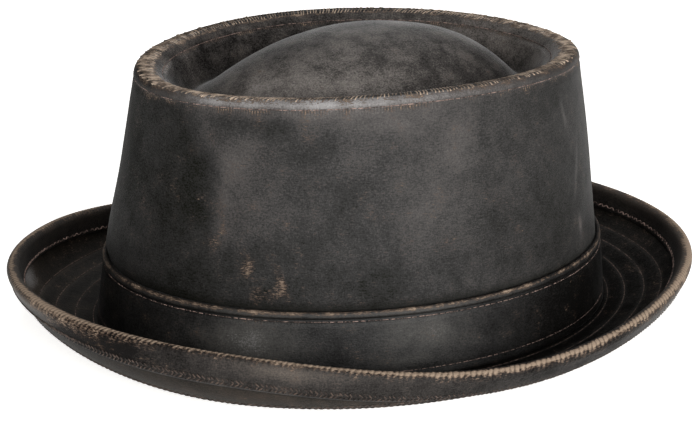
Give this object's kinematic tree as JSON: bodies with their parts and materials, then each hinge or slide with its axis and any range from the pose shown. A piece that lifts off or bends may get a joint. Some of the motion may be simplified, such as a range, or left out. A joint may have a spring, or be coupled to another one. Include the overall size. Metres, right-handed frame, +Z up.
{
  "type": "porkpie hat",
  "caption": "Porkpie hat in worn dark leather, with a flat-topped crown round an oval dome, a sewn band and a narrow rolled brim.",
  "frame": {"origin": "middle of the hat's outline seen from above, on the surface that it rests on", "axes": "+Z up through the crown, -Y towards the front of the hat, +X towards the wearer's left"},
  "size_m": [0.2418, 0.278, 0.1104],
  "materials": {
    "crown_leather": "worn, waxed, dark brown with grey rubbed patches",
    "band_leather": "smooth dark brown",
    "brim_leather": "worn dark brown with rows of stitching",
    "binding_leather": "rubbed through to tan along the edge"
  },
  "bodies": {
    "root": {"crown_side": "crown_leather", "crown_tip": "crown_leather", "hat_band": "band_leather", "brim": "brim_leather", "brim_binding": "binding_leather"}
  },
  "joints": []
}
